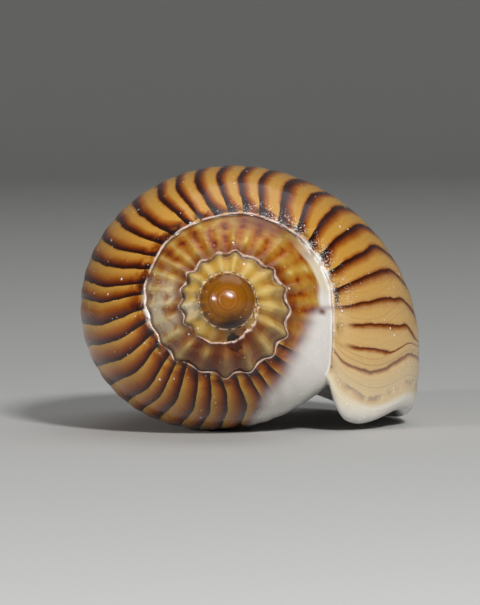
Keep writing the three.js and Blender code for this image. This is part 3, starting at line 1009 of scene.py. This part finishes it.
# The dome's places are millimetres from the axis: its edge is a range, and the brim and each ring
# are a middle and how far it reaches either way.
DOME_STOPS = ((0.3, UMBER), (0.55, DOME), (0.8, GOLD))
DOME_EDGE = (2.16, 2.06)
BRIM = (2.2, 0.07)
BRIM_BEADS = (0.35, 0.42, 0.55, 1)
DARK_RINGS = ((1.42, 0.1), (0.8, 0.08))
RINGS_PER_MM = 1.6
RING_WAVER = 1.5
PAINTED_SHADE_RIPPLE = (0.8, 0.3, 3)


def dome_colour(skin, radius):
    """Amber with faint darker rings, and painted shade that goes black towards the broken place"""
    rings = skin.line_noise(radius * RINGS_PER_MM + skin.noise(RING_WAVER) * 0.8)
    shade = skin.ramp(rings, *DOME_STOPS)
    shade = skin.blend(shade, UMBER, radius.peaks(*DARK_RINGS) * 0.6)
    # Painted shade, black towards the broken place on the dome's lower side
    painted_shade = skin.field("painted_shade") + skin.ripple(*PAINTED_SHADE_RIPPLE)
    return skin.blend(shade, NIGHT, painted_shade.step(0.2, 0.75) * 0.92)


# Beside the mouth. The crescent, its tip and the stain are each a middle and how far it reaches
# either way, and so is the stain's distance from the next suture.
CRESCENT = (1.14, 0.09)
CRESCENT_TO_NEXT = (1.0, 0.7)
CRESCENT_TIP = (1.1, 0.035)
TIP_TO_NEXT = (1.3, 0.7)
STAIN = (1.082, 0.009)
STAIN_TO_NEXT = (0.85, 0.5)
CALLUS_RIPPLE = (2.5, 0.25)


def mouth_colour(skin, shade, turns, to_next, crescent):
    """The cream crescent beside the last suture, and the white callus beside the mouth"""
    shade = skin.blend(shade, IVORY, crescent * 0.95)
    shade = skin.blend(shade, WHITE, turns.peak(*CRESCENT_TIP) * to_next.step(*TIP_TO_NEXT))
    strength = skin.field("callus")
    callus = (strength + skin.ripple(*CALLUS_RIPPLE)).step(0.08, 1.0) * strength.step(0.02, 0.2)
    shade = skin.blend(shade, LILAC, callus.step(0.0, 0.45) * 0.7)
    shade = skin.blend(shade, WHITE, callus.step(0.2, 1.0))
    return skin.blend(shade, BROWN, turns.peak(*STAIN) * to_next.peak(*STAIN_TO_NEXT) * 0.9)


PALE_LIP = (0.05, 0.012)
PALE_BELOW = (0.0, 0.2)
LIP_FRONT = (0.009, 0.002)
WHITE_BELOW = (1.0, 3.0)


def lip_colour(skin, shade, turns, below):
    """Paler towards the lip, and white on its front and inside"""
    paler = skin.blend(shade, IVORY, turns.step(*PALE_LIP) * 0.45)
    shade = skin.blend(shade, paler, below.step(*PALE_BELOW))
    front = turns.step(*LIP_FRONT)
    shade = skin.blend(shade, IVORY, front * 0.9)
    shade = skin.blend(shade, WHITE, front * below.step(*WHITE_BELOW) * 0.7)
    return skin.blend(shade, WHITE, skin.field("inside").step(0.0, 0.3))


RIM = ((0.01, 0.06), (2.1, 2.3))
RIM_BELOW = (0.17, 0.07)
RIM_PATCHES = (0.9, 0.3, 0.55, 3)


def rim_strength(skin, turns, below):
    """Where the whorl's edge is pinkish"""
    return below.step(*RIM_BELOW) * turns.between(*RIM) * skin.patches(*RIM_PATCHES)


BLOTS = ((0.05, 0.08), (0.95, 0.99))
BLOTS_BELOW = ((0.15, 0.25), (0.2, 0.75))
BLOT_PATCHES = (0.8, 0.45, 0.6, 3)


def blot_strength(skin, turns, below):
    """Where there are dark blots beside the last suture"""
    return below.between(*BLOTS_BELOW) * skin.patches(*BLOT_PATCHES) * turns.between(*BLOTS)


# The painted highlights along the suture are each a middle and how far it reaches either way
GLINTS = ((0.17, 0.08), (0.6, 0.05))
GLINT_BELOW = (0.35, 0.12)
GLINT_CRESCENT = (1.16, 0.08)
GLINT_TO_NEXT = (0.4, 0.1)
GLINT_PATCHES = (0.6, 0.38, 0.52, 4)


def painted_glint_strength(skin, turns, below, to_next):
    """Where pale flecks of painted highlight lie along the suture"""
    glint = turns.peaks(*GLINTS) * below.step(*GLINT_BELOW)
    glint = glint + turns.peak(*GLINT_CRESCENT) * to_next.step(*GLINT_TO_NEXT)
    return (glint * skin.patches(*GLINT_PATCHES)).capped()


GRITTY = ((0.06, 0.12), (0.24, 0.38))
GRIT_BELOW = (1.6, 0.1)
GRIT = (0.13, 0.56, 0.64, 1)
GRIT_PATCHES = (0.9, 0.4, 0.55)
COARSE_DUST = (0.35, 0.04)  # millimetres, and the share of such cells that hold a speck
FINE_DUST = (0.17, 0.02)


def dust_strength(skin, turns, below):
    """Where there are specks of dust, and grit beside the suture"""
    gritty = below.step(*GRIT_BELOW) * turns.between(*GRITTY)
    grit = skin.patches(*GRIT) * gritty * skin.patches(*GRIT_PATCHES)
    return skin.specks(*COARSE_DUST) + skin.specks(*FINE_DUST) + grit


BODY_COLOURED = (1.001, 0.999)
GROWTH_LINES_PER_WHORL = 300
GROWTH_SEEN = (0.2, 0.05)
GROWTH_RELIEF = (0.5, 0.1, 0.25, 1.0)  # a range of turns, then the relief's share at each end
GLOSS = {"Specular IOR Level": 0.25, "Coat Weight": 0.3, "Coat Roughness": 0.04}
ROUGHNESS = 0.26
ROUGHNESS_RIPPLE = (1.0, 0.12)
SKIN_GRAIN = 0.3
RELIEF_HEIGHT = 0.03


def shell_material():
    skin = Surface("glossy_shell")
    turns = skin.field("turns")
    below = skin.field("below")
    to_next = skin.field("to_next")
    radius = skin.field("radius")

    stripes = stripe_colour(skin, turns, below)
    shade = skin.blend(spire_colour(skin, turns, to_next), stripes, turns.step(*BODY_COLOURED))
    dome = radius.step(*DOME_EDGE)
    shade = skin.blend(shade, dome_colour(skin, radius), dome)
    beads = skin.blend(NIGHT, PINK, skin.patches(*BRIM_BEADS))
    shade = skin.blend(shade, beads, radius.peak(*BRIM))
    crescent = turns.peak(*CRESCENT) * to_next.step(*CRESCENT_TO_NEXT)
    shade = mouth_colour(skin, shade, turns, to_next, crescent)
    shade = lip_colour(skin, shade, turns, below)
    rim = rim_strength(skin, turns, below)
    shade = skin.blend(shade, PINK, rim * 0.85)
    shade = skin.blend(shade, NIGHT, blot_strength(skin, turns, below) * 0.85)
    # Painted highlights, as pale flecks along the suture
    shade = skin.blend(shade, DUST_AND_GLINT, painted_glint_strength(skin, turns, below, to_next) * 0.8)
    dust = dust_strength(skin, turns, below)
    shade = skin.blend(shade, DUST_AND_GLINT, dust.capped() * 0.75)
    growth = skin.line_noise(turns * GROWTH_LINES_PER_WHORL + skin.field("across") * 2)
    shade = skin.blend(shade, BROWN, growth.step(0.55, 0.75) * turns.step(*GROWTH_SEEN) * 0.18)

    connect(skin.tree, shade, skin.shader.inputs["Base Color"])
    for name, value in GLOSS.items():
        skin.shader.inputs[name].default_value = value
    shiny = (rim + crescent).capped()
    roughness = ROUGHNESS + skin.ripple(*ROUGHNESS_RIPPLE)
    roughness = roughness + dust * 0.3 - shiny * 0.18 - dome * 0.16
    connect(skin.tree, roughness, skin.shader.inputs["Roughness"])
    fine = growth * turns.step(*GROWTH_RELIEF)
    rough = skin.noise(SKIN_GRAIN, detail=3) * (shiny * 1.5 + 0.2)
    skin.bump(fine * 0.5 + rough + dust * 0.4, RELIEF_HEIGHT)
    return skin.material


# The camera stands where the photograph's did
VIEW_DISTANCE = 420
VIEW_TURN = -0.0315  # radians
VIEW_TILT = 0.0825
PIXELS_PER_MM = 13.43  # at the spire's tip
PICTURE = (480, 605)
TIP_PIXEL = (227.8, 299.2)
SENSOR = 36
CLIP_START = 0.01


def add_camera(tip):
    data = bpy.data.cameras.new("camera")
    data.sensor_width = SENSOR
    data.lens = SENSOR * PIXELS_PER_MM * VIEW_DISTANCE / PICTURE[1]
    data.shift_x = (PICTURE[0] / 2 - TIP_PIXEL[0]) / PICTURE[1]
    data.shift_y = (TIP_PIXEL[1] - PICTURE[1] / 2) / PICTURE[1]
    data.clip_start = CLIP_START
    turned = shell_turn() @ Euler((0, VIEW_TURN, 0)).to_matrix()
    turned = turned @ Euler((VIEW_TILT, 0, 0)).to_matrix()
    back = Matrix.Translation((0, 0, VIEW_DISTANCE * MM))
    camera = bpy.data.objects.new("camera", data)
    camera.matrix_world = Matrix.Translation(tip) @ turned.to_4x4() @ back
    bpy.context.scene.collection.objects.link(camera)
    bpy.context.scene.camera = camera


FLOOR_RADIUS = 0.9
FLOOR_CURVE = 0.5
WALL_TOP = 1.6
FLOOR_SIDES = 96
CURVE_STEPS = 16
FLOOR_GREY = (0.46, 0.46, 0.45, 1)
FLOOR_ROUGHNESS = 0.85


def add_floor():
    """A plain pale floor that curves up into a wall all round"""
    profile = [(0.0, 0.0), (FLOOR_RADIUS, 0.0)]
    for step in range(1, CURVE_STEPS + 1):
        turn = math.pi / 2 * step / CURVE_STEPS
        out = FLOOR_RADIUS + FLOOR_CURVE * math.sin(turn)
        profile.append((out, FLOOR_CURVE * (1 - math.cos(turn))))
    profile.append((out, WALL_TOP))
    angles = [2 * math.pi * side / FLOOR_SIDES for side in range(FLOOR_SIDES)]
    points = [(r * math.cos(a), r * math.sin(a), z) for r, z in profile for a in angles]
    faces = []
    for ring in range(0, FLOOR_SIDES * (len(profile) - 1), FLOOR_SIDES):
        above = ring + FLOOR_SIDES
        for side in range(FLOOR_SIDES):
            after = (side + 1) % FLOOR_SIDES
            faces.append([above + side, above + after, ring + after, ring + side])
    mesh = bpy.data.meshes.new("floor")
    mesh.from_pydata(points, [], faces)
    mesh.shade_smooth()
    surface = Surface("pale_floor")
    surface.shader.inputs["Base Color"].default_value = FLOOR_GREY
    surface.shader.inputs["Roughness"].default_value = FLOOR_ROUGHNESS
    mesh.materials.append(surface.material)
    floor = bpy.data.objects.new("floor", mesh)
    bpy.context.scene.collection.objects.link(floor)
    return floor


# Each lamp's name, place, size and power, in metres and watts
LAMPS = (
    ("key", (0.13, -0.52, 0.3), 0.08, 3.8),
    ("fill", (-0.5, -0.4, 0.16), 0.07, 1.3),
    ("top", (0.15, 0.2, 0.75), 0.8, 1.5),
)
LAMP_AIM = (0, 0, 0.01)
WORLD_LIGHT = 0.16


def add_lamp(name, at, size, power):
    data = bpy.data.lights.new(name, "AREA")
    data.shape = "DISK"
    data.size = size
    data.energy = power
    lamp = bpy.data.objects.new(name, data)
    lamp.location = at
    towards = Vector(LAMP_AIM) - Vector(at)
    lamp.rotation_euler = towards.to_track_quat("-Z", "Y").to_euler()
    bpy.context.scene.collection.objects.link(lamp)


def add_light():
    for lamp in LAMPS:
        add_lamp(*lamp)
    world = bpy.data.worlds.new("studio")
    world.use_nodes = True
    background = world.node_tree.nodes["Background"]
    background.inputs["Color"].default_value = (1, 1, 1, 1)
    background.inputs["Strength"].default_value = WORLD_LIGHT
    bpy.context.scene.world = world
    bpy.context.scene.view_settings.view_transform = "Standard"


shell, corners = build_shell()
set_fields(shell.data, corners)
shell.data.materials.append(shell_material())
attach(shell, "root")
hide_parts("shell")

tip = Vector(shell.data.vertices[0].co)
add_camera(tip)
add_floor()
add_light()
